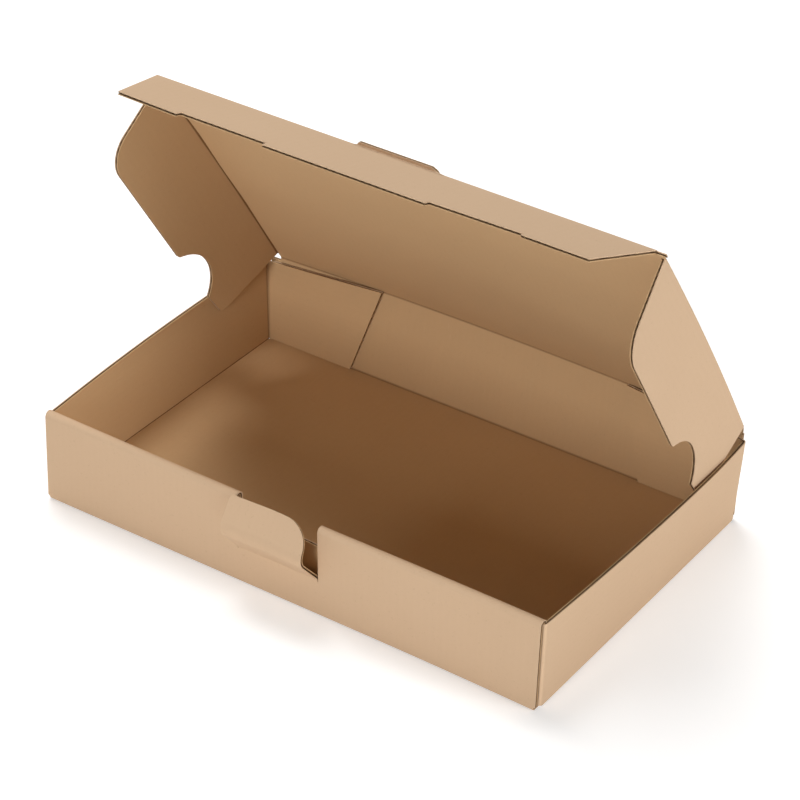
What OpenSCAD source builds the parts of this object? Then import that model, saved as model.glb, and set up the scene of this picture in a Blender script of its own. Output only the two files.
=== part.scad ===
// Letter mailer box, folded from one die-cut sheet of thin corrugated board.
// +X runs along the long side, -Y is the front and +Z is up.
// The origin is the middle of the tray's underside.

/* [Board] */
// Thickness of the corrugated board
board_t = 1.5; // [1.2:0.1:2]
// Clearance between a hinged panel and the board that carries it
fold_gap = 0.3; // [0.2:0.05:0.5]

/* [Tray] */
// Outer length of the tray
tray_w = 240; // [200:1:300]
// Outer depth of the tray
tray_d = 160; // [140:1:200]
// Height of the tray over the rolled front wall
tray_h = 45; // [42:1:60]
// How much lower the cut side walls are than the front wall
side_drop = 4; // [3:0.5:8]
// How far the left wall bows out at its top
left_bow = 4.5; // [0:0.5:6]
// How far the right wall bows out at its top
right_bow = 3; // [0:0.5:6]
// Distance behind the middle at which the side walls bow out most
bow_y = 38; // [20:1:50]
// Length of the front corner flaps inside the rolled wall
front_flap_len = 50; // [30:1:65]
// Length of the rear corner flaps along their lower edge
rear_flap_len = 46; // [30:1:60]
// How much longer the rear corner flaps are along their upper edge
rear_flap_flare = 14; // [4:1:20]
// Width of the two feet that lock the rolled wall into the floor
foot_w = 24; // [15:1:35]
// Distance of each foot from the middle
foot_x = 60; // [45:1:70]
// Clearance around a foot in its slot
foot_clear = 0.4; // [0.2:0.1:0.8]

/* [Lock] */
// Place of the tongue and of the lid's tab along the front
lock_x = -1.5; // [-6:0.5:6]
// Width of the lock tongue
tongue_w = 38; // [28:1:46]
// Height of the tongue's crease above the underside
tongue_z = 17; // [12:1:22]
// Length of the tongue up to its bend
tongue_low = 20; // [14:1:24]
// Length of the tongue above its bend
tongue_high = 18; // [15:1:24]
// Lean of the tongue below its bend, out from upright
tongue_lean = 44; // [20:1:50]
// Radius of the tongue's upper corners
tongue_r = 12; // [6:1:14]
// Width of the cut on each side of the tongue
tongue_cut = 0.5; // [0.3:0.1:1]
// Height at which the inner layer is cut away behind the tongue
window_z = 33; // [28:1:36]

/* [Lid] */
// How far the lid is open
lid_open = 55; // [40:1:80]
// How much narrower the lid is than the tray, at each side
lid_inset = 2.5; // [2.2:0.1:4]
// Gap between the shut tuck flap and the rolled front wall
tuck_gap = 4; // [2:0.5:6]
// Bend of the tuck flap from the lid's plane
tuck_bend = 40; // [20:1:60]
// Lean of the shut tuck flap in from upright, which lets it pass the front wall
tuck_lean = 22; // [20:1:26]
// Gap between the shut tuck flap and the floor
tuck_foot = 4; // [2:0.5:8]
// How much each end of the tuck flap slants in
tuck_taper = 8.5; // [6:0.5:16]
// Depth of the two shallow steps in the tuck flap's free edge
tuck_step = 1.7; // [0.5:0.1:3]
// Width of the locking tab at the lid's fold
tab_w = 40; // [30:1:48]
// Height of the locking tab beyond the fold
tab_h = 4; // [2:0.5:6]
// Clearance around the tab in the lid
tab_clear = 0.8; // [0.4:0.1:1.5]

/* [Wings] */
// Splay of the left wing out from square
left_splay = 5.5; // [0:0.5:6]
// Splay of the right wing out from square
right_splay = 3.5; // [0:0.5:5]
// Gap between a shut wing and the floor
wing_foot = 4.5; // [3:0.5:8]
// Gap between a wing's root and the lid's front fold
wing_front_gap = 2.5; // [2:0.5:5]
// How far the wing's front edge slants back
wing_front_slant = 4; // [2:0.5:8]
// Radius of the wing's front corner
wing_r = 14; // [8:1:18]
// Gap between a wing's root and the hinge line
wing_rear_gap = 4; // [3.5:0.5:8]
// How far the wing's rear edge slants forward
wing_rear_slant = 7; // [4:0.5:12]
// Distance of the finger notch from the hinge line
notch_u = 44; // [36:1:60]
// Width of the finger notch
notch_w = 37; // [26:1:40]
// Depth of the finger notch
notch_depth = 8.6; // [5:0.2:11]

/* [Hidden] */
$fn = 48;

half_t = board_t / 2;
// Clearance between a panel's end and the wall or wing beside it
side_clear = 0.5;
// Height of the nick where two folds meet at a lower corner
nick = 0.6;
half_w = tray_w / 2;
half_d = tray_d / 2;
side_h = tray_h - side_drop;
// Inner faces of the single walls
in_x = half_w - board_t;
in_y = half_d - board_t;
// The front wall is three boards thick: outer layer, corner flap, inner layer
roll_r = 1.5 * board_t;
roll_z = tray_h - roll_r;
roll_y = roll_r - half_d;
inner_face_y = 3 * board_t - half_d;
inner_layer_x = in_x - side_clear;
window_w = tongue_w + 2 * tongue_cut;
// Lines about which the panels turn
hinge_y = half_d - half_t;
hinge_z = tray_h;
tongue_y = half_t - half_d;
set_back = half_t + fold_gap;
lid_x = half_w - lid_inset;
wing_x = lid_x - half_t;
lid_len = hinge_y - inner_face_y - tuck_gap - half_t;
tuck_len = hinge_z - board_t - tuck_foot;
tuck_x = wing_x - half_t - side_clear;
tuck_set_back = (half_t * (1 + sin(tuck_lean)) + fold_gap) / cos(tuck_lean);
wing_depth = hinge_z - board_t - wing_foot;
wing_front_u = lid_len - wing_front_gap;
bow_steps = 16;
// Ends of the steps in the tuck flap's free edge, as shares of its half length
step_out = 0.74;
step_in = 0.36;
// Radius of the tongue's bend, at the middle of the board
bend_r = 2 * board_t;
cardboard = [0.80, 0.67, 0.53];

// Share of the bow at a place along the side wall
function bow_share(y) =
    1 - pow((y - bow_y) / (y < bow_y ? bow_y + in_y - board_t : in_y - board_t - bow_y), 2);

// Points of an arc, both ends included
function arc(cx, cy, r, from, to, steps = 10) =
    [for (i = [0:steps]) let (a = from + (to - from) * i / steps) [cx + r * cos(a), cy + r * sin(a)]];

// A flat piece of board, its outline in the XY plane and its middle on that plane
module board(points) {
    linear_extrude(height = board_t, center = true) polygon(points);
}

// The round outside of a fold along X, centred on its axis
module fold_bead(length) {
    rotate([0, 90, 0]) cylinder(r = half_t, h = length, center = true);
}

// A quarter of a round fold, board_t in radius, along Z from the origin
module corner_fold(length) {
    intersection() {
        cylinder(r = board_t, h = length);
        cube([board_t, board_t, length]);
    }
}

module floor_panel() {
    difference() {
        translate([-in_x, -in_y, 0]) cube([2 * in_x, 2 * in_y, board_t]);
        for (side = [-1, 1])
            translate([side * foot_x, inner_face_y - half_t, 0])
                cube([foot_w + 2 * foot_clear, board_t + 2 * foot_clear, 3 * board_t], center = true);
    }
}

// Round lower edges, where the walls fold up from the floor
module floor_folds() {
    for (turn = [0, 180]) rotate([0, 0, turn]) {
        translate([in_x, in_y, board_t]) rotate([-90, 0, 90]) corner_fold(2 * in_x);
        translate([in_x, in_y, board_t]) rotate([-90, 0, 180]) mirror([1, 0, 0]) corner_fold(2 * in_y);
    }
}

// One side wall: it stands on the fold and bows out towards its cut upper edge
module side_wall(bow) {
    y_from = board_t - in_y;
    y_to = in_y - board_t;
    rings = [for (i = [0:bow_steps])
        let (y = y_from + (y_to - y_from) * i / bow_steps, out = bow * bow_share(y))
        [[in_x, y, board_t], [half_w, y, board_t], [half_w + out, y, side_h], [in_x + out, y, side_h]]];
    points = [for (ring = rings) for (p = ring) p];
    sides = [for (i = [0:bow_steps - 1]) for (k = [0:3])
        [4 * i + k, 4 * i + (k + 1) % 4, 4 * (i + 1) + (k + 1) % 4, 4 * (i + 1) + k]];
    last = 4 * bow_steps;
    faces = concat(sides, [[3, 2, 1, 0]], [[last, last + 1, last + 2, last + 3]]);
    polyhedron(points, faces);
}

// Side wall with its two corner flaps, for the right-hand side
module side_panel(bow) {
    side_wall(bow);
    for (end = [0, 1]) mirror([0, end, 0])
        translate([in_x, in_y - board_t, board_t]) corner_fold(side_h - board_t);
    // Front corner flap, held between the layers of the rolled wall
    translate([in_x - front_flap_len, -in_y, board_t])
        cube([front_flap_len, board_t, side_h - board_t]);
    // Rear corner flap, loose inside the back wall, its free end slanting out
    translate([0, in_y - half_t, 0]) rotate([90, 0, 0]) board([
        [in_x, board_t],
        [in_x, side_h],
        [in_x - rear_flap_len - rear_flap_flare, side_h + side_drop / 2],
        [in_x - rear_flap_len, board_t]
    ]);
}

// A full-width wall layer on its lower fold, with a small nick at each lower corner
module upright_layer(y, top) {
    translate([-in_x, y, board_t]) cube([2 * in_x, board_t, top - board_t]);
    translate([-half_w, y, board_t + nick]) cube([tray_w, board_t, top - board_t - nick]);
}

// Front wall: outer layer, round roll along the top and inner layer down to the floor
module rolled_wall() {
    upright_layer(-half_d, roll_z);
    translate([0, roll_y, roll_z]) rotate([90, 0, 90]) intersection() {
        difference() {
            cylinder(r = roll_r, h = tray_w, center = true);
            cylinder(r = half_t, h = tray_w + 1, center = true);
        }
        translate([-roll_r, 0, -half_w]) cube([2 * roll_r, roll_r, tray_w]);
    }
    translate([-inner_layer_x, inner_face_y - board_t, board_t])
        cube([2 * inner_layer_x, board_t, roll_z - board_t]);
    for (side = [-1, 1])
        translate([side * foot_x - foot_w / 2, inner_face_y - board_t, 0])
            cube([foot_w, board_t, 2 * board_t]);
}

// What is cut out of the rolled wall to free the tongue
module lock_window() {
    low_z = tongue_z - set_back;
    translate([lock_x - window_w / 2, -half_d - 1, low_z]) cube([window_w, 1 + board_t, tray_h]);
    translate([lock_x - window_w / 2, -half_d - 1, window_z]) cube([window_w, 1 + 4 * board_t, tray_h]);
}

module back_wall() {
    upright_layer(in_y, hinge_z - set_back);
}

module tray() {
    color(cardboard) {
        floor_panel();
        floor_folds();
        side_panel(right_bow);
        mirror([1, 0, 0]) side_panel(left_bow);
        back_wall();
        difference() {
            rolled_wall();
            lock_window();
        }
    }
}

// Places children, drawn for a shut lid with its hinge on the X axis, on the open lid
module on_lid() {
    translate([0, hinge_y, hinge_z]) rotate([-lid_open, 0, 0]) children();
}

module lid() {
    edge_x = wing_x - set_back;
    end_y = tuck_set_back - lid_len;
    slot_x = tab_w / 2 + tab_clear;
    slot_y = tab_h + tab_clear - lid_len;
    color(cardboard) on_lid() {
        fold_bead(2 * lid_x);
        board([
            [-edge_x, 0], [edge_x, 0], [edge_x, end_y],
            [lock_x + slot_x, end_y], [lock_x + slot_x, slot_y],
            [lock_x - slot_x, slot_y], [lock_x - slot_x, end_y],
            [-edge_x, end_y]
        ]);
    }
}

// Outline of the tuck flap: the fold is at y = 0 and the free edge at y = -tuck_len
function tuck_outline() =
    let (x = tuck_x - tuck_taper, far = -tuck_len, near = tuck_step - tuck_len,
         a = step_out * x, b = step_in * x, tab = tab_w / 2, slant = tab_h / 2)
    [
        [-tuck_x, 0], [-x, far], [-a, far], [-a, near], [-b, near], [-b, far],
        [b, far], [b, near], [a, near], [a, far], [x, far], [tuck_x, 0],
        [lock_x + tab, 0], [lock_x + tab - slant, tab_h],
        [lock_x - tab + slant, tab_h], [lock_x - tab, 0]
    ];

module tuck_flap() {
    color(cardboard) on_lid() translate([0, -lid_len, 0]) rotate([tuck_bend, 0, 0]) {
        fold_bead(2 * tuck_x);
        board(tuck_outline());
    }
}

// Outline of a wing: x is the distance from the hinge line, y the depth under the lid
function wing_outline() =
    let (r = (pow(notch_w / 2, 2) + pow(notch_depth, 2)) / (2 * notch_depth),
         half_angle = asin(notch_w / 2 / r),
         lean = atan(wing_front_slant / wing_depth),
         corner_x = wing_front_u - wing_front_slant - wing_r * (1 - sin(lean)) / cos(lean))
    concat(
        [[wing_rear_gap, 0], [wing_rear_gap + wing_rear_slant, wing_depth]],
        arc(notch_u, wing_depth + r - notch_depth, r, 270 - half_angle, 270 + half_angle, 14),
        arc(corner_x, wing_depth - wing_r, wing_r, 90, lean, 10),
        [[wing_front_u, 0]]
    );

module wing(side, splay) {
    length = wing_front_u - wing_rear_gap;
    color(cardboard) on_lid() translate([side * wing_x, 0, 0]) rotate([0, -side * splay, 0]) {
        translate([0, -wing_rear_gap, 0]) rotate([90, 0, 0]) cylinder(r = half_t, h = length);
        rotate([0, 90, 0]) rotate([0, 0, -90]) board(wing_outline());
    }
}

module wing_left() {
    wing(-1, left_splay);
}

module wing_right() {
    wing(1, right_splay);
}

// Section of the tongue, x out from the front and y up: straight, a round bend, then straight
function tongue_section() =
    let (from = tongue_low - bend_r * tan(tongue_lean / 2),
         inner = bend_r - half_t,
         outer = bend_r + half_t,
         end = [tongue_high * sin(tongue_lean), tongue_low + tongue_high * cos(tongue_lean)],
         side = half_t * [cos(tongue_lean), -sin(tongue_lean)])
    concat(
        [[half_t, 0]],
        [for (p = arc(0, 0, inner, 180, 180 - tongue_lean, 6)) [bend_r + p[0], from + p[1]]],
        [end + side, end - side],
        [for (p = arc(0, 0, outer, 180 - tongue_lean, 180, 6)) [bend_r + p[0], from + p[1]]],
        [[-half_t, 0]]
    );

// What is cut off to round one upper corner of the tongue: an arc that runs straight out at its ends
function tongue_corner() =
    let (x = tongue_w / 2, y = tongue_high, r = tongue_r, tip = 6, out = 2)
    concat(
        [[x - r + r * sin(tip) - out * cos(tip), y - r + r * cos(tip) + out * sin(tip)]],
        arc(x - r, y - r, r, 90 - tip, tip),
        [[x - r + r * cos(tip) + out * sin(tip), y - r + r * sin(tip) - out * cos(tip)],
            [x + out, y - r], [x + out, y + out], [x - r, y + out]]
    );

module lock_tongue() {
    color(cardboard) translate([lock_x, tongue_y, tongue_z]) rotate([tongue_lean, 0, 0]) {
        fold_bead(tongue_w);
        difference() {
            rotate([90, 0, 90]) linear_extrude(height = tongue_w, center = true)
                polygon(tongue_section());
            translate([0, 0, tongue_low]) rotate([90 - tongue_lean, 0, 0]) for (side = [0, 1])
                mirror([side, 0, 0]) linear_extrude(height = 4 * board_t, center = true)
                    polygon(tongue_corner());
        }
    }
}

tray();
lid();
tuck_flap();
wing_left();
wing_right();
lock_tongue();
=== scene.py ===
import bpy
import bmesh
import math
import numpy as np
from mathutils import Matrix, Vector


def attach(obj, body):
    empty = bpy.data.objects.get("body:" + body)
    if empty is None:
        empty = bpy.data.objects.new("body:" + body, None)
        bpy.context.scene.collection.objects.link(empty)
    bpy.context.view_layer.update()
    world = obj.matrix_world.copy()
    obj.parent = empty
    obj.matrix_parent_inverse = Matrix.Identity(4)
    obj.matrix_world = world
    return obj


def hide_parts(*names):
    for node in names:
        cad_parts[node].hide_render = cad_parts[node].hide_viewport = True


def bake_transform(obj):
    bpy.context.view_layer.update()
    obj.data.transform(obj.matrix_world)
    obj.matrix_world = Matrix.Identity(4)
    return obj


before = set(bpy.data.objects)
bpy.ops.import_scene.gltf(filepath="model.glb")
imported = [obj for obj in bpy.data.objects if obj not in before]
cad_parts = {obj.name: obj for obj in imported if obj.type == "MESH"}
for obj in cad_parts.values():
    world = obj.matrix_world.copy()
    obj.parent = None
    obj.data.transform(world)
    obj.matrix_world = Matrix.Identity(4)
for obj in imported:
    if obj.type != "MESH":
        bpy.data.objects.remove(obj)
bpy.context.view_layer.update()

# Lengths are millimetres while the flat board is cut and folded, and metres in every finished mesh.
# A flat piece has s along its path, t across it and h through the board.
mm = 0.001
print("frame loaded")

camera = {"azimuth": 31.800, "elevation": 32.707, "roll": 2.944, "distance": 1347.51,
          "aimX": -43.690, "aimY": 71.795, "focalPixels": 3045.775, "imagePixels": 800,
          "sensor": 36, "clipEnd": 20}


def makeCamera(c):
    az, el, roll = (math.radians(c[k]) for k in ("azimuth", "elevation", "roll"))
    back = Vector((math.sin(az) * math.cos(el), -math.cos(az) * math.cos(el), math.sin(el)))
    right = (-back).cross(Vector((0, 0, 1))).normalized()
    up = right.cross(-back)
    rightRolled = math.cos(roll) * right + math.sin(roll) * up
    upRolled = math.cos(roll) * up - math.sin(roll) * right
    place = back * c["distance"] + Vector((c["aimX"], c["aimY"], 0))
    data = bpy.data.cameras.new("camera")
    data.sensor_width = c["sensor"]
    data.lens = c["focalPixels"] / c["imagePixels"] * c["sensor"]
    data.clip_end = c["clipEnd"]
    obj = bpy.data.objects.new("camera", data)
    turn = Matrix((rightRolled, upRolled, back)).transposed().to_4x4()
    obj.matrix_world = Matrix.Translation(place * mm) @ turn
    bpy.context.scene.collection.objects.link(obj)
    bpy.context.scene.camera = obj


makeCamera(camera)
bpy.context.scene.view_settings.view_transform = "Standard"
print("camera placed")


# Shader maths as expressions on sockets
class Wire:
    def __init__(self, tree, socket):
        self.tree = tree
        self.socket = socket

    def maths(self, operation, *others, swap=False):
        values = [self, *others]
        if swap:
            values.reverse()
        return self.node("ShaderNodeMath", {"operation": operation}, dict(enumerate(values)))

    def __add__(self, other):
        return self.maths("ADD", other)

    def __sub__(self, other):
        return self.maths("SUBTRACT", other)

    def __mul__(self, other):
        return self.maths("MULTIPLY", other)

    def __rsub__(self, other):
        return self.maths("SUBTRACT", other, swap=True)

    __radd__ = __add__
    __rmul__ = __mul__

    def clamped(self):
        return self.maths("MAXIMUM", 0.0).maths("MINIMUM", 1.0)

    def node(self, kind, settings=None, values=None, out=0):
        made = self.tree.nodes.new(kind)
        for key, value in (settings or {}).items():
            setattr(made, key, value)
        for key, value in (values or {}).items():
            if isinstance(value, Wire):
                self.tree.links.new(value.socket, made.inputs[key])
            else:
                made.inputs[key].default_value = value
        return Wire(self.tree, made.outputs[out])


def newMaterial(name):
    material = bpy.data.materials.new(name)
    material.use_nodes = True
    tree = material.node_tree
    surface = tree.nodes["Principled BSDF"]
    return material, Wire(tree, None), surface, tree


def blendColour(wire, share, first, second):
    return wire.node("ShaderNodeMix", {"data_type": "RGBA", "blend_type": "MIX", "clamp_factor": True},
                     {0: share, 6: first, 7: second}, out=2)


linerFinish = {
    "light": (0.668, 0.472, 0.308, 1), "dark": (0.618, 0.424, 0.268, 1),
    "cloud": 16, "cloudShare": 0.7, "grain": 420, "grainShare": 0.25,
    "fleck": 900, "fleckFrom": 0.665, "fleckGain": 9, "fleckShare": 0.12,
    "fibreLong": 160, "fibreWide": 1500, "fibreFrom": 0.62, "fibreGain": 6, "fibreShare": 0.12,
    "darkFleck": (0.300, 0.180, 0.095, 1), "paleFibre": (0.760, 0.570, 0.390, 1),
    # creaseShadeTone: painted shade in the hollow of each fold, partly the crushed fibres of the score
    "creaseShadeTone": (0.210, 0.105, 0.042, 1),
    "pitch": 3.3, "ribShadeTone": 0.03, "roughness": 0.85, "roughSwing": 0.2, "specular": 0.25,
    "ribHeight": 0.25, "fibreHeight": 0.5, "grainHeight": 0.6, "bump": 0.012, "bumpDepth": 0.0002,
}
# The inside liner is a darker, browner copy of the outer liner: partly the inside paper's own browner tone,
# partly painted shade for the shaded inside of the box
innerShadedLook = dict(linerFinish, light=(0.595, 0.390, 0.208, 1), dark=(0.545, 0.348, 0.180, 1))


# Kraft liner: cloudy pulp, fine fibres, flecks, the faint ribs of the flutes under it (a bump, and painted
# light and shade in the colour) and painted shade in the hollow of each fold
def kraftLiner(name, f):
    material, wire, surface, tree = newMaterial(name)
    place = wire.node("ShaderNodeTexCoord", out=3)
    flat = wire.node("ShaderNodeUVMap", {"uv_map": "flat"})
    across = wire.node("ShaderNodeSeparateXYZ", None, {0: flat})
    along = Wire(tree, across.socket.node.outputs[1])
    cloud = wire.node("ShaderNodeTexNoise", None, {"Vector": place, "Scale": f["cloud"], "Detail": 5.0})
    grain = wire.node("ShaderNodeTexNoise", None, {"Vector": place, "Scale": f["grain"], "Detail": 4.0})
    stretched = wire.node("ShaderNodeCombineXYZ", None,
                          {0: across * f["fibreWide"], 1: along * f["fibreLong"]})
    fibre = wire.node("ShaderNodeTexNoise", None, {"Vector": stretched, "Scale": 1.0, "Detail": 3.0})
    fleck = wire.node("ShaderNodeTexNoise", None, {"Vector": place, "Scale": f["fleck"], "Detail": 1.0})
    rib = (across * (2 * math.pi / (f["pitch"] * mm))).maths("SINE")
    # The rib tone stripes the colour at the flute pitch: painted light and shade of the washboard ribs
    mottle = (cloud - 0.5) * f["cloudShare"] + (grain - 0.5) * f["grainShare"] + rib * f["ribShadeTone"]
    mottle = (mottle + 0.5).clamped()
    base = blendColour(wire, mottle, f["dark"], f["light"])
    darkShare = ((fleck - f["fleckFrom"]) * f["fleckGain"]).clamped() * f["fleckShare"]
    paleShare = ((fibre - f["fibreFrom"]) * f["fibreGain"]).clamped() * f["fibreShare"]
    base = blendColour(wire, darkShare, base, f["darkFleck"])
    base = blendColour(wire, paleShare, base, f["paleFibre"])
    # The crease attribute darkens the hollow side of each fold: painted shade of the inner corner, partly the
    # crushed score's own darker tone
    crease = wire.node("ShaderNodeAttribute", {"attribute_name": "crease"}, out=2)
    base = blendColour(wire, crease, base, f["creaseShadeTone"])
    tree.links.new(base.socket, surface.inputs["Base Color"])
    rough = f["roughness"] + (fibre - 0.5) * f["roughSwing"]
    tree.links.new(rough.socket, surface.inputs["Roughness"])
    height = rib * f["ribHeight"] + fibre * f["fibreHeight"] + grain * f["grainHeight"]
    bump = wire.node("ShaderNodeBump", None,
                     {"Height": height, "Strength": f["bump"], "Distance": f["bumpDepth"]})
    tree.links.new(bump.socket, surface.inputs["Normal"])
    surface.inputs["Specular IOR Level"].default_value = f["specular"]
    return material


# Fluting colours far darker than the paper: partly the raw medium's darker tone, partly painted shade of the
# hollows between the flutes
flutingShadedLook = {"light": (0.230, 0.135, 0.068, 1), "dark": (0.120, 0.066, 0.030, 1), "scale": 700,
                "contrast": 2.5, "bump": 0.3, "bumpDepth": 0.0002, "roughness": 0.9, "specular": 0.2}


# Fluting paper, seen only at cut edges and darkened there with painted shade of the flute hollows
def flutingPaperShaded(f):
    material, wire, surface, tree = newMaterial("fluting_paper_painted_shade")
    place = wire.node("ShaderNodeTexCoord", out=3)
    noise = wire.node("ShaderNodeTexNoise", None, {"Vector": place, "Scale": f["scale"], "Detail": 3.0})
    mottle = ((noise - 0.5) * f["contrast"] + 0.5).clamped()
    tone = blendColour(wire, mottle, f["dark"], f["light"])
    tree.links.new(tone.socket, surface.inputs["Base Color"])
    bump = wire.node("ShaderNodeBump", None,
                     {"Height": noise, "Strength": f["bump"], "Distance": f["bumpDepth"]})
    tree.links.new(bump.socket, surface.inputs["Normal"])
    surface.inputs["Roughness"].default_value = f["roughness"]
    surface.inputs["Specular IOR Level"].default_value = f["specular"]
    return material


liner = kraftLiner("kraft_liner", linerFinish)
innerShadedLiner = kraftLiner("inner_liner_painted_shade", innerShadedLook)
fluting = flutingPaperShaded(flutingShadedLook)
print("materials made")

# cell and sparse are the spacings of slices through the liners and the fluting, reach the uncut sheet's size
board = {"thickness": 1.5, "liner": 0.38, "paper": 0.2, "pitch": 3.3, "steps": 6, "reach": 640.0,
         "cell": 6.0, "sparse": 12.0, "sliceMerge": 0.0005, "sharpAngle": 38,
         # The crease core, reach and tone set how wide and how strong the painted shade on the hollow side of
         # each fold is
         "foldRadius": 0.95, "foldSteps": 6, "creaseShadeCore": 0.15, "creaseShadeReach": 0.7, "creaseShadeTone": 0.6,
         "seam": 0.02}
surfaces = [liner, fluting, innerShadedLiner]
flutingSlot = 1


def addNode(tree, kind, settings=None, values=None):
    made = tree.nodes.new(kind)
    for key, value in (settings or {}).items():
        setattr(made, key, value)
    for key, value in (values or {}).items():
        if isinstance(value, bpy.types.NodeSocket):
            tree.links.new(value, made.inputs[key])
        else:
            made.inputs[key].default_value = value
    return made


# Corrugated board of the cutter's outline: two liners and a waved fluting sheet, each cut by the outline.
# The upper liner gets its own material last, by height.
def corrugatedTree():
    tree = bpy.data.node_groups.new("corrugated_board", "GeometryNodeTree")
    face = tree.interface
    face.new_socket("Cutter", in_out="INPUT", socket_type="NodeSocketGeometry")
    for name in ("Thickness", "Liner", "Paper", "Pitch", "Reach", "Seam"):
        face.new_socket(name, in_out="INPUT", socket_type="NodeSocketFloat")
    face.new_socket("Steps", in_out="INPUT", socket_type="NodeSocketInt")
    for name in ("Upper liner", "Lower liner", "Fluting"):
        face.new_socket(name, in_out="INPUT", socket_type="NodeSocketMaterial")
    face.new_socket("Board", in_out="OUTPUT", socket_type="NodeSocketGeometry")
    given = tree.nodes.new("NodeGroupInput").outputs

    def maths(operation, first, second=0.0):
        return addNode(tree, "ShaderNodeMath", {"operation": operation}, {0: first, 1: second}).outputs[0]

    def cut(sheet, material):
        kept = addNode(tree, "GeometryNodeMeshBoolean", {"operation": "INTERSECT", "solver": "MANIFOLD"})
        tree.links.new(sheet, kept.inputs["Mesh 2"])
        tree.links.new(given["Cutter"], kept.inputs["Mesh 2"])
        return addNode(tree, "GeometryNodeSetMaterial", None,
                       {0: kept.outputs[0], "Material": material}).outputs[0]

    def slab(thick, stepsX):
        size = addNode(tree, "ShaderNodeCombineXYZ", None, {0: given["Reach"], 1: given["Reach"], 2: thick})
        return addNode(tree, "GeometryNodeMeshCube", None,
                       {"Size": size.outputs[0], "Vertices X": stepsX}).outputs[0]

    joined = tree.nodes.new("GeometryNodeJoinGeometry")
    rise = maths("MULTIPLY", maths("SUBTRACT", given["Thickness"], given["Liner"]), 0.5)
    for side in (1, -1):
        shift = addNode(tree, "ShaderNodeCombineXYZ", None, {2: maths("MULTIPLY", rise, side)})
        moved = addNode(tree, "GeometryNodeTransform", None,
                        {0: slab(given["Liner"], 2), "Translation": shift.outputs[0]})
        tree.links.new(cut(moved.outputs[0], given["Lower liner"]), joined.inputs[0])
    count = maths("MULTIPLY", maths("DIVIDE", given["Reach"], given["Pitch"]), given["Steps"])
    place = tree.nodes.new("GeometryNodeInputPosition")
    x = addNode(tree, "ShaderNodeSeparateXYZ", None, {0: place.outputs[0]}).outputs[0]
    turn = maths("MULTIPLY", maths("DIVIDE", x, given["Pitch"]), 2 * math.pi)
    swing = maths("SUBTRACT", maths("SUBTRACT", rise, maths("MULTIPLY", given["Liner"], 0.5)),
                  maths("MULTIPLY", given["Paper"], 0.5))
    lift = addNode(tree, "ShaderNodeCombineXYZ", None, {2: maths("MULTIPLY", maths("SINE", turn), swing)})
    waved = addNode(tree, "GeometryNodeSetPosition", None,
                    {0: slab(given["Paper"], maths("ADD", count, 1)), "Offset": lift.outputs[0]})
    tree.links.new(cut(waved.outputs[0], given["Fluting"]), joined.inputs[0])
    real = addNode(tree, "GeometryNodeRealizeInstances", None, {0: joined.outputs[0]})
    height = addNode(tree, "ShaderNodeSeparateXYZ", None, {0: place.outputs[0]}).outputs[2]
    lowest = maths("SUBTRACT", maths("MULTIPLY", given["Thickness"], 0.5),
                   maths("ADD", given["Liner"], given["Seam"]))
    upper = addNode(tree, "GeometryNodeSetMaterial", None,
                    {0: real.outputs[0], "Selection": maths("GREATER_THAN", height, lowest),
                     "Material": given["Upper liner"]})
    out = tree.nodes.new("NodeGroupOutput")
    tree.links.new(upper.outputs[0], out.inputs[0])
    return tree


boardTree = corrugatedTree()


# A closed cutter from flat outlines, the first the outside and any others holes
def cutterMesh(loops, depth):
    bm = bmesh.new()
    for loop in loops:
        ring = [bm.verts.new((a, b, -depth)) for a, b in loop]
        for i, v in enumerate(ring):
            bm.edges.new((v, ring[(i + 1) % len(ring)]))
    bmesh.ops.triangle_fill(bm, use_beauty=True, use_dissolve=False, edges=bm.edges[:])
    grown = bmesh.ops.extrude_face_region(bm, geom=bm.faces[:])
    top = [g for g in grown["geom"] if isinstance(g, bmesh.types.BMVert)]
    bmesh.ops.translate(bm, vec=(0, 0, 2 * depth), verts=top)
    bmesh.ops.recalc_face_normals(bm, faces=bm.faces[:])
    mesh = bpy.data.meshes.new("cutter")
    bm.to_mesh(mesh)
    bm.free()
    return mesh


# innerUp puts the darker inside liner, partly painted shade, on the upper side, h > 0
def flatBoard(loops, innerUp):
    mesh = cutterMesh(loops, board["thickness"])
    obj = bpy.data.objects.new("flat_board", mesh)
    bpy.context.scene.collection.objects.link(obj)
    modifier = obj.modifiers.new("board", "NODES")
    modifier.node_group = boardTree
    upper, lower = (innerShadedLiner, liner) if innerUp else (liner, innerShadedLiner)
    wanted = {"Thickness": board["thickness"], "Liner": board["liner"], "Paper": board["paper"],
              "Pitch": board["pitch"], "Reach": board["reach"], "Steps": board["steps"],
              "Seam": board["seam"], "Upper liner": upper, "Lower liner": lower, "Fluting": fluting}
    for item in boardTree.interface.items_tree:
        if item.in_out == "INPUT" and item.name in wanted:
            modifier[item.identifier] = wanted[item.name]
    made = bpy.data.meshes.new_from_object(obj.evaluated_get(bpy.context.evaluated_depsgraph_get()))
    obj.modifiers.remove(modifier)
    bpy.data.objects.remove(obj)
    own = [m.original if m and m.is_evaluated else m for m in made.materials]
    slots = np.array([surfaces.index(m) if m else 0 for m in own])
    index = np.empty(len(made.polygons), dtype=np.int32)
    made.polygons.foreach_get("material_index", index)
    made.polygons.foreach_set("material_index", slots[index].astype(np.int32))
    return made


def stations(low, high, step):
    count = max(1, round((high - low) / step))
    return [low + (high - low) * i / count for i in range(1, count)]


def sliced(bm, axis, places):
    normal = [0.0, 0.0, 0.0]
    normal[axis] = 1.0
    for place in places:
        spot = [0.0, 0.0, 0.0]
        spot[axis] = place
        bmesh.ops.bisect_plane(bm, geom=bm.verts[:] + bm.edges[:] + bm.faces[:], plane_co=spot,
                               plane_no=normal, dist=board["sliceMerge"])


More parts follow.
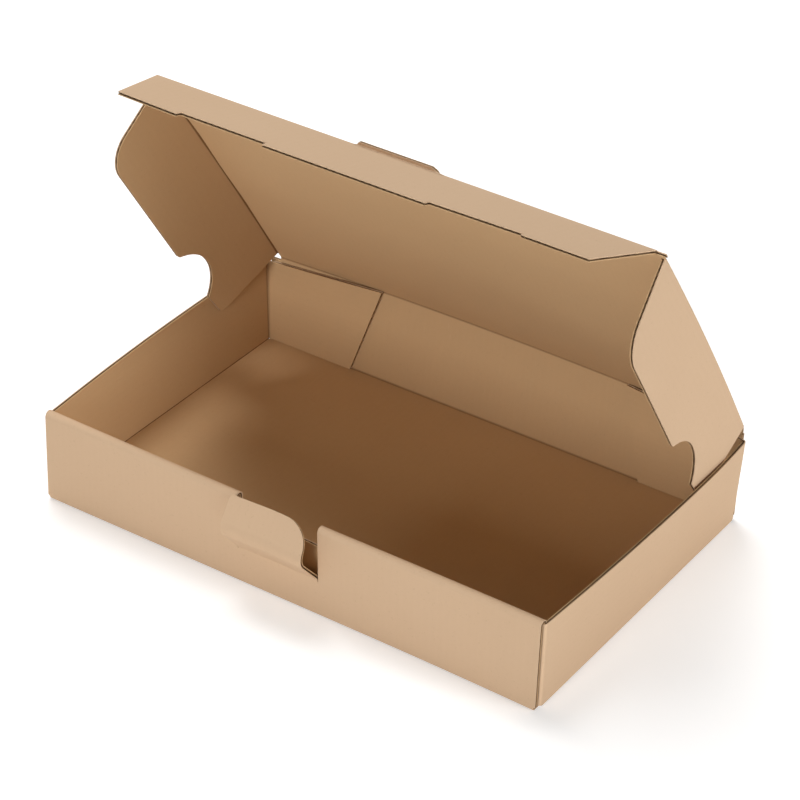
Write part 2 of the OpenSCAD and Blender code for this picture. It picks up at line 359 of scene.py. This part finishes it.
# How strongly the hollow side of each fold is darkened: painted shade of the inner corner, partly the crushed
# score
def creaseShadeShare(s, h, folds, tone):
    share = np.zeros_like(s)
    for first, last, bend in folds:
        beyond = np.maximum(np.maximum(first - s, s - last), 0)
        near = np.clip((board["creaseShadeReach"] - beyond) / (board["creaseShadeReach"] - board["creaseShadeCore"]), 0, 1)
        share = np.maximum(share, near * (h * bend > 0))
    return share * tone


# Cuts a flat board and folds it: place(s, t, h) gives the folded points and folds lists (from, to, bend).
# The liners are sliced finely and the fluting sparsely, since the fluting shows only at cut edges.
def foldedBoard(loops, flutesAlongS, folds, place, innerUp=True, tone=board["creaseShadeTone"]):
    swapped = [[(t, s) for s, t in loop] if flutesAlongS else list(loop) for loop in loops]
    source = flatBoard(swapped, innerUp)
    low = [min(p[k] for p in loops[0]) for k in (0, 1)]
    high = [max(p[k] for p in loops[0]) for k in (0, 1)]
    axisS, axisT = (1, 0) if flutesAlongS else (0, 1)
    creases = []
    for first, last, bend in folds:
        steps = board["foldSteps"]
        creases += [first + (last - first) * i / steps for i in range(steps + 1)]
        for beyond in (board["creaseShadeCore"], board["creaseShadeReach"]):
            creases += [first - beyond, last + beyond]
    pieces = []
    for isFluting, step in ((False, board["cell"]), (True, board["sparse"])):
        bm = bmesh.new()
        bm.from_mesh(source)
        others = [f for f in bm.faces if (f.material_index == flutingSlot) != isFluting]
        bmesh.ops.delete(bm, geom=others, context="FACES")
        sliced(bm, axisS, sorted(creases + stations(low[0], high[0], step)))
        sliced(bm, axisT, stations(low[1], high[1], step))
        pieces.append(bm)
    mesh = bpy.data.meshes.new("folded")
    joined = bmesh.new()
    for bm in pieces:
        part = bpy.data.meshes.new("part")
        bm.to_mesh(part)
        bm.free()
        joined.from_mesh(part)
    joined.to_mesh(mesh)
    joined.free()
    flat = np.empty(len(mesh.vertices) * 3)
    mesh.vertices.foreach_get("co", flat)
    flat = flat.reshape(-1, 3)
    corner = np.empty(len(mesh.loops), dtype=np.int32)
    mesh.loops.foreach_get("vertex_index", corner)
    layer = mesh.uv_layers.new(name="flat")
    layer.data.foreach_set("uv", (flat[corner, :2] * mm).ravel())
    # crease holds the painted shade on the hollow side of each fold
    shade = mesh.attributes.new("crease", "FLOAT", "POINT")
    shade.data.foreach_set("value", creaseShadeShare(flat[:, axisS], flat[:, 2], folds, tone).astype(np.float32))
    x, y, z = place(flat[:, axisS], flat[:, axisT], flat[:, 2])
    folded = np.stack([x, y, z], axis=1)
    mesh.vertices.foreach_set("co", (folded * mm).ravel())
    return mesh


def finishPiece(name, meshes):
    bm = bmesh.new()
    for mesh in meshes:
        bm.from_mesh(mesh)
    bmesh.ops.recalc_face_normals(bm, faces=bm.faces[:])
    final = bpy.data.meshes.new(name)
    bm.to_mesh(final)
    bm.free()
    for material in surfaces:
        final.materials.append(material)
    final.shade_smooth()
    final.set_sharp_from_angle(angle=math.radians(board["sharpAngle"]))
    obj = bpy.data.objects.new(name, final)
    bpy.context.scene.collection.objects.link(obj)
    print("piece", name, len(final.polygons), "faces")
    return obj


# A path of straight legs (length, 0) and round folds (degrees, radius)
def foldPath(start, heading, moves):
    legs = []
    s, x, y, angle = 0.0, start[0], start[1], math.radians(heading)
    for amount, radius in moves:
        if radius:
            turn = math.radians(amount)
            length = abs(turn) * radius
            bend = turn / length
            legs.append((s, s + length, x, y, angle, bend))
            x += (math.sin(angle + turn) - math.sin(angle)) / bend
            y -= (math.cos(angle + turn) - math.cos(angle)) / bend
            angle += turn
        else:
            length = amount
            legs.append((s, s + length, x, y, angle, 0.0))
            x += math.cos(angle) * length
            y += math.sin(angle) * length
        s += length
    return legs


# Points of the folded section for s along the path and h to its left
def onPath(legs, s, h):
    x, y = np.zeros_like(s), np.zeros_like(s)
    for i, (first, last, x0, y0, angle, bend) in enumerate(legs):
        inside = np.ones_like(s, dtype=bool)
        if i > 0:
            inside &= s >= first
        if i < len(legs) - 1:
            inside &= s < last
        d = s[inside] - first
        if bend:
            turned = angle + bend * d
            px = x0 + (np.sin(turned) - math.sin(angle)) / bend
            py = y0 - (np.cos(turned) - math.cos(angle)) / bend
        else:
            turned = np.full_like(d, angle)
            px = x0 + math.cos(angle) * d
            py = y0 + math.sin(angle) * d
        x[inside] = px - np.sin(turned) * h[inside]
        y[inside] = py + np.cos(turned) * h[inside]
    return x, y


def foldsOf(legs):
    return [(leg[0], leg[1], leg[5]) for leg in legs if leg[5]]


def arcPoints(cx, cy, r, first, last, steps):
    angles = [math.radians(first + (last - first) * i / steps) for i in range(steps + 1)]
    return [(cx + r * math.cos(a), cy + r * math.sin(a)) for a in angles]


# Slow uneven lift of a few tenths of a millimetre, so that no panel is perfectly flat
def unevenness(x, y, z, size=0.12):
    broad = np.sin(x * 0.061 + 1.3) * np.cos(y * 0.083 + z * 0.07)
    return size * (broad + 0.6 * np.sin(y * 0.13 - z * 0.11 + x * 0.02))


tray = {"halfWidth": 120.0, "halfDepth": 80.0, "height": 45.0, "sideHeight": 41.0,
        "innerHalf": 118.0, "rollRadius": 1.5, "wrapHalf": 119.2, "footZ": 1.6, "relief": 0.6,
        "frontTop": 44.7, "backTop": 42.95, "frontZone": -70, "backZone": 73, "highest": 1.1,
        "frontBow": 2.6, "frontLean": 0.9, "leanReach": 20, "backBow": 4.0,
        "footOut": 0.6, "footRight": 1.2, "footFrom": 40, "footReach": 80, "dropMiddle": 0.3, "dropEnds": 1.3,
        "bowY": 38.0, "leftBow": 4.5, "rightBow": 3.0, "bowInset": 3, "bowFoot": 1.5, "wallFrom": 117,
        "rearShare": 0.5, "rearLean": 1.6, "rearCurve": 1.6,
        "sidePush": 0.9, "pushFrom": -20, "pushReach": 60, "flapZone": 70, "flapPush": 0.8,
        "lockX": -1.5, "windowHalf": 19.5, "windowInner": 33.0, "windowOuter": 17.65,
        "floorZone": 76, "floorTop": 2, "floorShare": 0.5,
        "frontFlap": 50.0, "flapCutDeep": 6, "flapCutLong": 4,
        "rearLeft": 60.4, "rearRight": 63.5, "rearLow": 74.2, "rearRise": 4.6, "rearStep": 1.0,
        "rearStepLong": 2}


def middleShare(x):
    return 1 - np.clip(np.abs(x) / tray["halfWidth"], 0, 1) ** 2


# How the upright front and back walls lean and bow out towards their tops
def wallWarp(x, y, z):
    rise = np.clip(z / tray["height"], 0, tray["highest"])
    middle = middleShare(x)
    lean = tray["frontLean"] * np.clip(np.abs(x) / tray["leanReach"], 0, 1)
    front = rise * (lean + tray["frontBow"] * middle)
    toRight = np.clip((x - tray["footFrom"]) / tray["footReach"], 0, 1)
    front = front + tray["footOut"] + tray["footRight"] * toRight ** 2
    back = rise * tray["backBow"] * middle
    atFront = y < tray["frontZone"]
    drop = (tray["dropMiddle"] + tray["dropEnds"] * (1 - middle)) * rise * atFront
    y = y - front * atFront + back * (y > tray["backZone"])
    return x, y, z - drop


def trayWrap():
    half = board["thickness"] / 2
    r = board["foldRadius"]
    frontMid = -tray["halfDepth"] + half
    rollZ = tray["frontTop"] - tray["rollRadius"] - half
    innerMid = frontMid + 2 * tray["rollRadius"]
    footZ = tray["footZ"]
    floorHalf = -frontMid - r
    lowZ = half + r
    legs = foldPath((innerMid, footZ), 90, [
        (rollZ - footZ, 0), (180, tray["rollRadius"]), (rollZ - lowZ, 0), (90, r),
        (2 * floorHalf, 0), (90, r), (tray["backTop"] - lowZ, 0)])
    outer, inner, floor = tray["wrapHalf"], tray["innerHalf"], tray["halfWidth"] - half - r
    s = [leg[0] for leg in legs] + [legs[-1][1]]
    rows = [(s[0], inner), (s[1], inner), (s[1], outer), (s[3] - tray["relief"], outer), (s[3], floor),
            (s[5], floor), (s[6], floor), (s[6] + tray["relief"], outer), (s[7], outer)]
    outline = [(a, b) for a, b in rows] + [(a, -b) for a, b in reversed(rows)]
    left, right = tray["lockX"] - tray["windowHalf"], tray["lockX"] + tray["windowHalf"]
    first, last = tray["windowInner"] - footZ, s[2] + rollZ - tray["windowOuter"]
    window = [(first, left), (last, left), (last, right), (first, right)]

    def place(s, t, h):
        y, z = onPath(legs, s, h)
        x, y, z = wallWarp(t.copy(), y, z)
        onFloor = (np.abs(y) < tray["floorZone"]) * (z < tray["floorTop"])
        return x, y, z + unevenness(x, y, z) * onFloor * tray["floorShare"]

    return [foldedBoard([outline, window], True, foldsOf(legs), place)]


def bowShare(y):
    reach = tray["halfDepth"] - tray["bowInset"]
    front = 1 - ((y - tray["bowY"]) / (tray["bowY"] + reach)) ** 2
    rear = 1 - (1 - tray["rearShare"]) * ((y - tray["bowY"]) / (reach - tray["bowY"])) ** 2
    return np.clip(np.where(y < tray["bowY"], front, rear), 0, 1)


def sideWarp(x, y, z, bow):
    rise = np.clip((z - tray["bowFoot"]) / (tray["sideHeight"] - tray["bowFoot"]), 0, tray["highest"])
    onWall = np.clip(x - tray["wallFrom"], 0, 1)
    return x + bow * bowShare(y) * rise * onWall


def sidePanel(side, bow, rearX):
    half = board["thickness"] / 2
    r = board["foldRadius"]
    wallX = tray["halfWidth"] - half
    flapY = tray["halfDepth"] - 1.5 * board["thickness"]
    cornerX, cornerY = wallX - r, flapY - r
    legs = foldPath((rearX, flapY), 0, [
        (cornerX - rearX, 0), (-90, r), (2 * cornerY, 0), (-90, r), (tray["frontFlap"], 0)])
    s = [leg[0] for leg in legs] + [legs[-1][1]]
    low, top = half + r, tray["sideHeight"]
    outline = [(tray["rearLow"] - rearX, low), (s[5], low), (s[5], top - tray["flapCutDeep"]),
               (s[5] - tray["flapCutLong"], top), (s[1], top),
               (s[1] - tray["rearStepLong"], top + tray["rearStep"]), (0, top + tray["rearRise"])]

    def place(s, t, h):
        x, y = onPath(legs, s, h)
        z = t.copy()
        x = sideWarp(x, y, z, bow)
        away = np.clip((cornerX - x) / (cornerX - rearX), 0, 1)
        y = y + (y > tray["flapZone"]) * tray["rearLean"] * away ** tray["rearCurve"] * z / top
        y = y - (y < -tray["flapZone"]) * tray["flapPush"] * z / tray["height"]
        y = y - tray["sidePush"] * np.clip((tray["pushFrom"] - y) / tray["pushReach"], 0, 1)
        return side * x, y, z

    wall = foldedBoard([outline], True, foldsOf(legs), place, innerUp=False)
    bend = foldPath((cornerX, half), 0, [(90, r), (0.1, 0)])
    strip = [(0, -cornerY), (bend[-1][1], -cornerY), (bend[-1][1], cornerY), (0, cornerY)]

    def placeBend(s, t, h):
        x, z = onPath(bend, s, h)
        return side * x, t.copy(), z

    # Tone 1.0 gives the floor-to-wall bend its full painted crease shade
    return [wall, foldedBoard([strip], False, foldsOf(bend), placeBend, tone=1.0)]


lid = {"open": 55.0, "length": 150.0, "half": 116.4, "wingHalf": 116.3, "frontHalf": 118.3,
       "wingFrom": 4.0, "wingTo": 147.6, "creaseRadius": 1.2, "start": 42.9, "end": 149.4,
       "slotLeft": -22.4, "slotRight": 20.6, "slotFrom": 146.6, "slotSlant": 6,
       "shift": (2.2, 0.0236, -0.000282), "sag": 0.6, "bowReach": 60.0, "waveSize": 0.2, "waveFade": 20}
tuck = {"bend": 40.0, "left": -118.0, "right": 113.9,
        "edge": [(-109.9, 37.4), (-80.2, 39.3), (-80.2, 35.9), (-39.0, 35.9), (-39.0, 39.5),
                 (35.6, 39.9), (35.6, 36.9), (75.8, 35.1), (75.8, 37.0), (104.9, 37.1)],
        "rootStep": 0.3, "tabClear": 0.5, "tabLeft": -21.8, "tabRight": 20.0, "tabHeight": 1.0,
        "tabTilt": 98.0, "tabRadius": 1.0, "tabRoot": 1.2, "tabSlantLeft": 1.8, "tabSlantRight": 6.2}

# Points (y, z): the lid's hinge line, and the fold between the lid and the tuck flap
hinge = (tray["halfDepth"] - board["thickness"] / 2, tray["height"])
alongLid = 180 - lid["open"]
lidDirection = (math.cos(math.radians(alongLid)), math.sin(math.radians(alongLid)))
foldPoint = (hinge[0] + lid["length"] * lidDirection[0], hinge[1] + lid["length"] * lidDirection[1])


# The lid sits skewed on its hinge: sideways by an amount that changes along it, and sagging towards its front
def lidSkew(x, y, z, u, share=1.0):
    a, b, c = lid["shift"]
    sag = lid["sag"] * (np.clip(u, 0, lid["length"]) / lid["length"]) ** 2
    return x + (a + b * u + c * u * u) * share, y - sag * lidDirection[1], z + sag * lidDirection[0]


def lidPanel():
    r = lid["creaseRadius"]
    turn = 90 - lid["open"]
    tangent = r * math.tan(math.radians(turn / 2))
    rise = hinge[1] - tangent - lid["start"]
    legs = foldPath((hinge[0], lid["start"]), 90, [(rise, 0), (turn, r), (lid["end"] - tangent, 0)])
    zero = legs[2][0] - tangent
    rows = [(0, lid["half"]), (zero + lid["wingFrom"], lid["half"]),
            (zero + lid["wingFrom"], lid["wingHalf"]), (zero + lid["wingTo"], lid["wingHalf"]),
            (zero + lid["wingTo"], lid["frontHalf"]),
            (zero + lid["end"], lid["frontHalf"])]
    slot = [(zero + lid["end"], lid["slotRight"]),
            (zero + lid["slotFrom"], lid["slotRight"] - lid["slotSlant"]),
            (zero + lid["slotFrom"], lid["slotLeft"]), (zero + lid["end"], lid["slotLeft"])]
    outline = rows + slot + [(a, -b) for a, b in reversed(rows)]

    def place(s, t, h):
        y, z = onPath(legs, s, h)
        u = s - zero
        fade = np.clip(1 - u / lid["bowReach"], 0, 1) ** 2 * np.clip(z / tray["height"], 0, 1)
        y = y + tray["backBow"] * middleShare(t) * fade
        inside = np.clip(u / lid["waveFade"], 0, 1) * np.clip((lid["end"] - u) / lid["waveFade"], 0, 1)
        wave = unevenness(t, u, 0 * u, lid["waveSize"]) * inside
        y, z = y - wave * lidDirection[1], z + wave * lidDirection[0]
        return lidSkew(t, y, z, np.clip(u, 0, lid["length"]))

    return [foldedBoard([outline], True, foldsOf(legs), place)]


def tuckFlap():
    r = lid["creaseRadius"]
    tangent = r * math.tan(math.radians(tuck["bend"] / 2))
    before = lid["length"] - tangent - lid["end"]
    start = (hinge[0] + lid["end"] * lidDirection[0], hinge[1] + lid["end"] * lidDirection[1])
    longest = max(d for x, d in tuck["edge"])
    legs = foldPath(start, alongLid, [(before, 0), (tuck["bend"], r), (longest - tangent, 0)])
    zero = legs[2][0] - tangent
    clear = zero + tuck["tabClear"]
    step = zero + tuck["rootStep"]
    left, right, tabLow, tabHigh = tuck["left"], tuck["right"], tuck["tabLeft"], tuck["tabRight"]
    outline = [(0, left), (step, left)] + [(zero + d, x) for x, d in tuck["edge"]]
    outline += [(step, right), (0, right), (0, tabHigh), (clear, tabHigh), (clear, tabLow), (0, tabLow)]

    def place(s, t, h):
        y, z = onPath(legs, s, h)
        return t.copy(), y - lid["sag"] * lidDirection[1], z + lid["sag"] * lidDirection[0]

    root = tuck["tabRoot"]
    heading = alongLid + tuck["bend"]
    tabLegs = foldPath((0, 0), heading + tuck["tabTilt"],
                       [(tuck["tabHeight"], 0), (-tuck["tabTilt"], tuck["tabRadius"]), (root, 0)])
    back = tabLegs[-1][1]
    endY, endZ = onPath(tabLegs, np.array([back]), np.zeros(1))
    tab = [(0, tabLow + tuck["tabSlantLeft"]), (back - root, tabLow), (back, tabLow), (back, tabHigh),
           (back - root, tabHigh), (0, tabHigh - tuck["tabSlantRight"])]
    joinY = foldPoint[0] + root * math.cos(math.radians(heading)) - lid["sag"] * lidDirection[1]
    joinZ = foldPoint[1] + root * math.sin(math.radians(heading)) + lid["sag"] * lidDirection[0]

    def placeTab(s, t, h):
        y, z = onPath(tabLegs, s, h)
        return t.copy(), y + joinY - endY[0], z + joinZ - endZ[0]

    return [foldedBoard([outline], True, foldsOf(legs), place),
            foldedBoard([tab], True, foldsOf(tabLegs), placeTab, tone=0.0)]


# u runs along the lid from its hinge, v outwards from the wing's fold
wing = {"depth": 39.0, "frontU": 148.0, "frontDeepU": 144.8, "frontRadius": 14.0, "frontRise": 0.6,
        "rearU": 4.2, "rearDeepU": 11.0, "rearV": 38.2, "rearCutU": 1.5, "rearCutV": 3,
        "notchU": 43.5, "notchHalf": 18.0, "notchDepth": 9.0, "notchShort": 6,
        "tipFrom": 3.2, "tipSink": 1.6, "tipRadius": 2.2, "beyond": 3,
        "splayLeft": 5.5, "splayRight": 3.5, "extraLeft": 0.3, "extraRight": 0.3,
        "bendFrom": 20.0, "bendTo": 110.0}


def wingOutline():
    w = wing
    r = (w["notchHalf"] ** 2 + w["notchDepth"] ** 2) / (2 * w["notchDepth"])
    half = math.degrees(math.asin(w["notchHalf"] / r))
    centre = w["depth"] + r - w["notchDepth"]
    notch = arcPoints(w["notchU"], centre, r, 270 - half, 270 + half - w["notchShort"], 16)
    tip = arcPoints(notch[-1][0] + w["tipFrom"], w["depth"] - w["tipSink"], w["tipRadius"], 150, 90, 4)
    front = arcPoints(w["frontDeepU"] - w["frontRadius"], w["depth"] + w["frontRise"] - w["frontRadius"],
                      w["frontRadius"], 90, 4, 10)
    rear = [(w["rearU"], 0), (w["rearDeepU"] - w["rearCutU"], w["rearV"] - w["rearCutV"]),
            (w["rearDeepU"], w["rearV"])]
    return rear + notch + tip + front + [(w["frontU"], 0)]


def wingPanel(side, splay, extra):
    r = board["foldRadius"]
    turn = 90 - splay
    legs = foldPath((lid["wingHalf"], 0), 0, [(-turn, r), (wing["depth"] + wing["beyond"], 0)])
    deep = legs[1][0] - r
    outline = [(0 if v == 0 else v + deep, u) for u, v in wingOutline()]

    def place(s, t, h):
        x, n = onPath(legs, s, h)
        v = np.clip(s - deep, 0, None)
        forward = np.clip((t - wing["bendFrom"]) / (wing["bendTo"] - wing["bendFrom"]), 0, 1)
        x = x + extra * (v / wing["depth"]) ** 1.5 * forward ** 2 * (3 - 2 * forward)
        y = hinge[0] + t * lidDirection[0] + n * lidDirection[1]
        z = hinge[1] + t * lidDirection[1] - n * lidDirection[0]
        return lidSkew(side * x, y, z, t, np.clip(1 - v / wing["depth"], 0, 1))

    # Tone 1.0 gives the lid-to-wing fold its full painted crease shade
    return [foldedBoard([outline], False, foldsOf(legs), place, innerUp=False, tone=1.0)]


tongue = {"start": 17.6, "foot": 0.3, "lean": 41.0, "low": 20.0, "high": 15.9, "back": 36.0,
          "creaseRadius": 3.0, "bendRadius": 6.0, "half": 19.2, "cornerLeft": 2.0, "cornerRight": 12.0}


def lockTongue():
    k = tongue
    crease = k["creaseRadius"] * math.tan(math.radians(k["lean"] / 2))
    turn = k["lean"] + k["back"]
    bend = k["bendRadius"] * math.tan(math.radians(turn / 2))
    legs = foldPath((-hinge[0], k["start"]), 90, [
        (k["foot"], 0), (k["lean"], k["creaseRadius"]), (k["low"] - crease - bend, 0),
        (-turn, k["bendRadius"]), (k["high"] - bend, 0)])
    end = legs[-1][1]
    right, left = k["cornerRight"], k["cornerLeft"]
    outline = [(0, -k["half"]), (0, k["half"])] + arcPoints(end - right, k["half"] - right, right, 90, 0, 10)
    outline += arcPoints(end - left, left - k["half"], left, 0, -90, 6)

    def place(s, t, h):
        y, z = onPath(legs, s, h)
        return wallWarp(t + tray["lockX"], y, z)

    return [foldedBoard([outline], True, foldsOf(legs), place, innerUp=False, tone=0.0)]


trayObject = finishPiece("tray_wrap", trayWrap())
leftPanel = finishPiece("side_panel_left", sidePanel(-1, tray["leftBow"], tray["rearLeft"]))
rightPanel = finishPiece("side_panel_right", sidePanel(1, tray["rightBow"], tray["rearRight"]))
for piece in (trayObject, leftPanel, rightPanel):
    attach(piece, "tray")
    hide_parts("tray")

lidObject = finishPiece("lid_panel", lidPanel())
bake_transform(lidObject)
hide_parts("lid")

alongFlap = math.radians(alongLid + tuck["bend"])
flapDirection = (math.cos(alongFlap), math.sin(alongFlap))
tuckObject = finishPiece("tuck_flap_panel", tuckFlap())
(foldPoint[0] - 0.5 * lidDirection[0]) * mm
(foldPoint[1] - 0.5 * lidDirection[1]) * mm
(foldPoint[0] + 0.5 * flapDirection[0]) * mm
(foldPoint[1] + 0.5 * flapDirection[1]) * mm
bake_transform(tuckObject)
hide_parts("tuck_flap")

for side, body, splay, extra in ((-1, "wing_left", wing["splayLeft"], wing["extraLeft"]),
                                 (1, "wing_right", wing["splayRight"], wing["extraRight"])):
    panel = finishPiece(body + "_panel", wingPanel(side, splay, extra))
    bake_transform(panel)
    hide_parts(body)

tongueObject = finishPiece("lock_tongue_panel", lockTongue())
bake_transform(tongueObject)
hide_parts("lock_tongue")
print("box folded")

studio = {"world": 0.06, "floorTone": 0.85, "floorGlow": 0.40, "floorSize": 6.0, "floorSink": 0.0002,
          "lampCentre": 0.05}
lamps = [
    {"name": "front_panel", "azimuth": 7, "elevation": 15, "distance": 2.0, "size": 0.7, "power": 20.5},
    {"name": "right_panel", "azimuth": 93, "elevation": 11, "distance": 2.0, "size": 0.7, "power": 21.5},
    {"name": "rear_panel", "azimuth": 240, "elevation": 67, "distance": 1.8, "size": 1.0, "power": 24.5},
]


# 1 for rays that show a surface and 0 for those that light one, so that white surroundings add little light
def shownRays(wire):
    outputs = wire.node("ShaderNodeLightPath").socket.node.outputs
    seen = Wire(wire.tree, outputs["Is Camera Ray"])
    for name in ("Is Glossy Ray", "Is Transmission Ray"):
        seen = seen.maths("MAXIMUM", Wire(wire.tree, outputs[name]))
    return seen


def makeStudio():
    mesh = bpy.data.meshes.new("floor")
    w = studio["floorSize"] / 2
    z = -studio["floorSink"]
    mesh.from_pydata([(-w, -w, z), (w, -w, z), (w, w, z), (-w, w, z)], [], [(0, 1, 2, 3)])
    floor = bpy.data.objects.new("floor", mesh)
    bpy.context.scene.collection.objects.link(floor)
    material, wire, surface, tree = newMaterial("pale_floor")
    tree.nodes.remove(surface)
    output = tree.nodes["Material Output"]
    tone = studio["floorTone"]
    diffuse = wire.node("ShaderNodeBsdfDiffuse", None, {"Color": (tone, tone, tone, 1)})
    glow = wire.node("ShaderNodeEmission", None,
                     {"Color": (1, 1, 1, 1), "Strength": shownRays(wire) * studio["floorGlow"]})
    both = wire.node("ShaderNodeAddShader", None, {0: diffuse, 1: glow})
    tree.links.new(both.socket, output.inputs["Surface"])
    mesh.materials.append(material)

    world = bpy.data.worlds.new("studio")
    world.use_nodes = True
    bpy.context.scene.world = world
    tree = world.node_tree
    background = tree.nodes["Background"]
    wire = Wire(tree, None)
    strength = shownRays(wire) * (1 - studio["world"]) + studio["world"]
    background.inputs["Color"].default_value = (1, 1, 1, 1)
    tree.links.new(strength.socket, background.inputs["Strength"])

    for lamp in lamps:
        az, el = math.radians(lamp["azimuth"]), math.radians(lamp["elevation"])
        data = bpy.data.lights.new(lamp["name"], "AREA")
        data.energy = lamp["power"]
        data.size = lamp["size"]
        away = Vector((math.sin(az) * math.cos(el), -math.cos(az) * math.cos(el), math.sin(el)))
        obj = bpy.data.objects.new(lamp["name"], data)
        obj.location = away * lamp["distance"] + Vector((0, 0, studio["lampCentre"]))
        obj.rotation_euler = away.to_track_quat("Z", "Y").to_euler()
        bpy.context.scene.collection.objects.link(obj)


makeStudio()
print("studio lit")
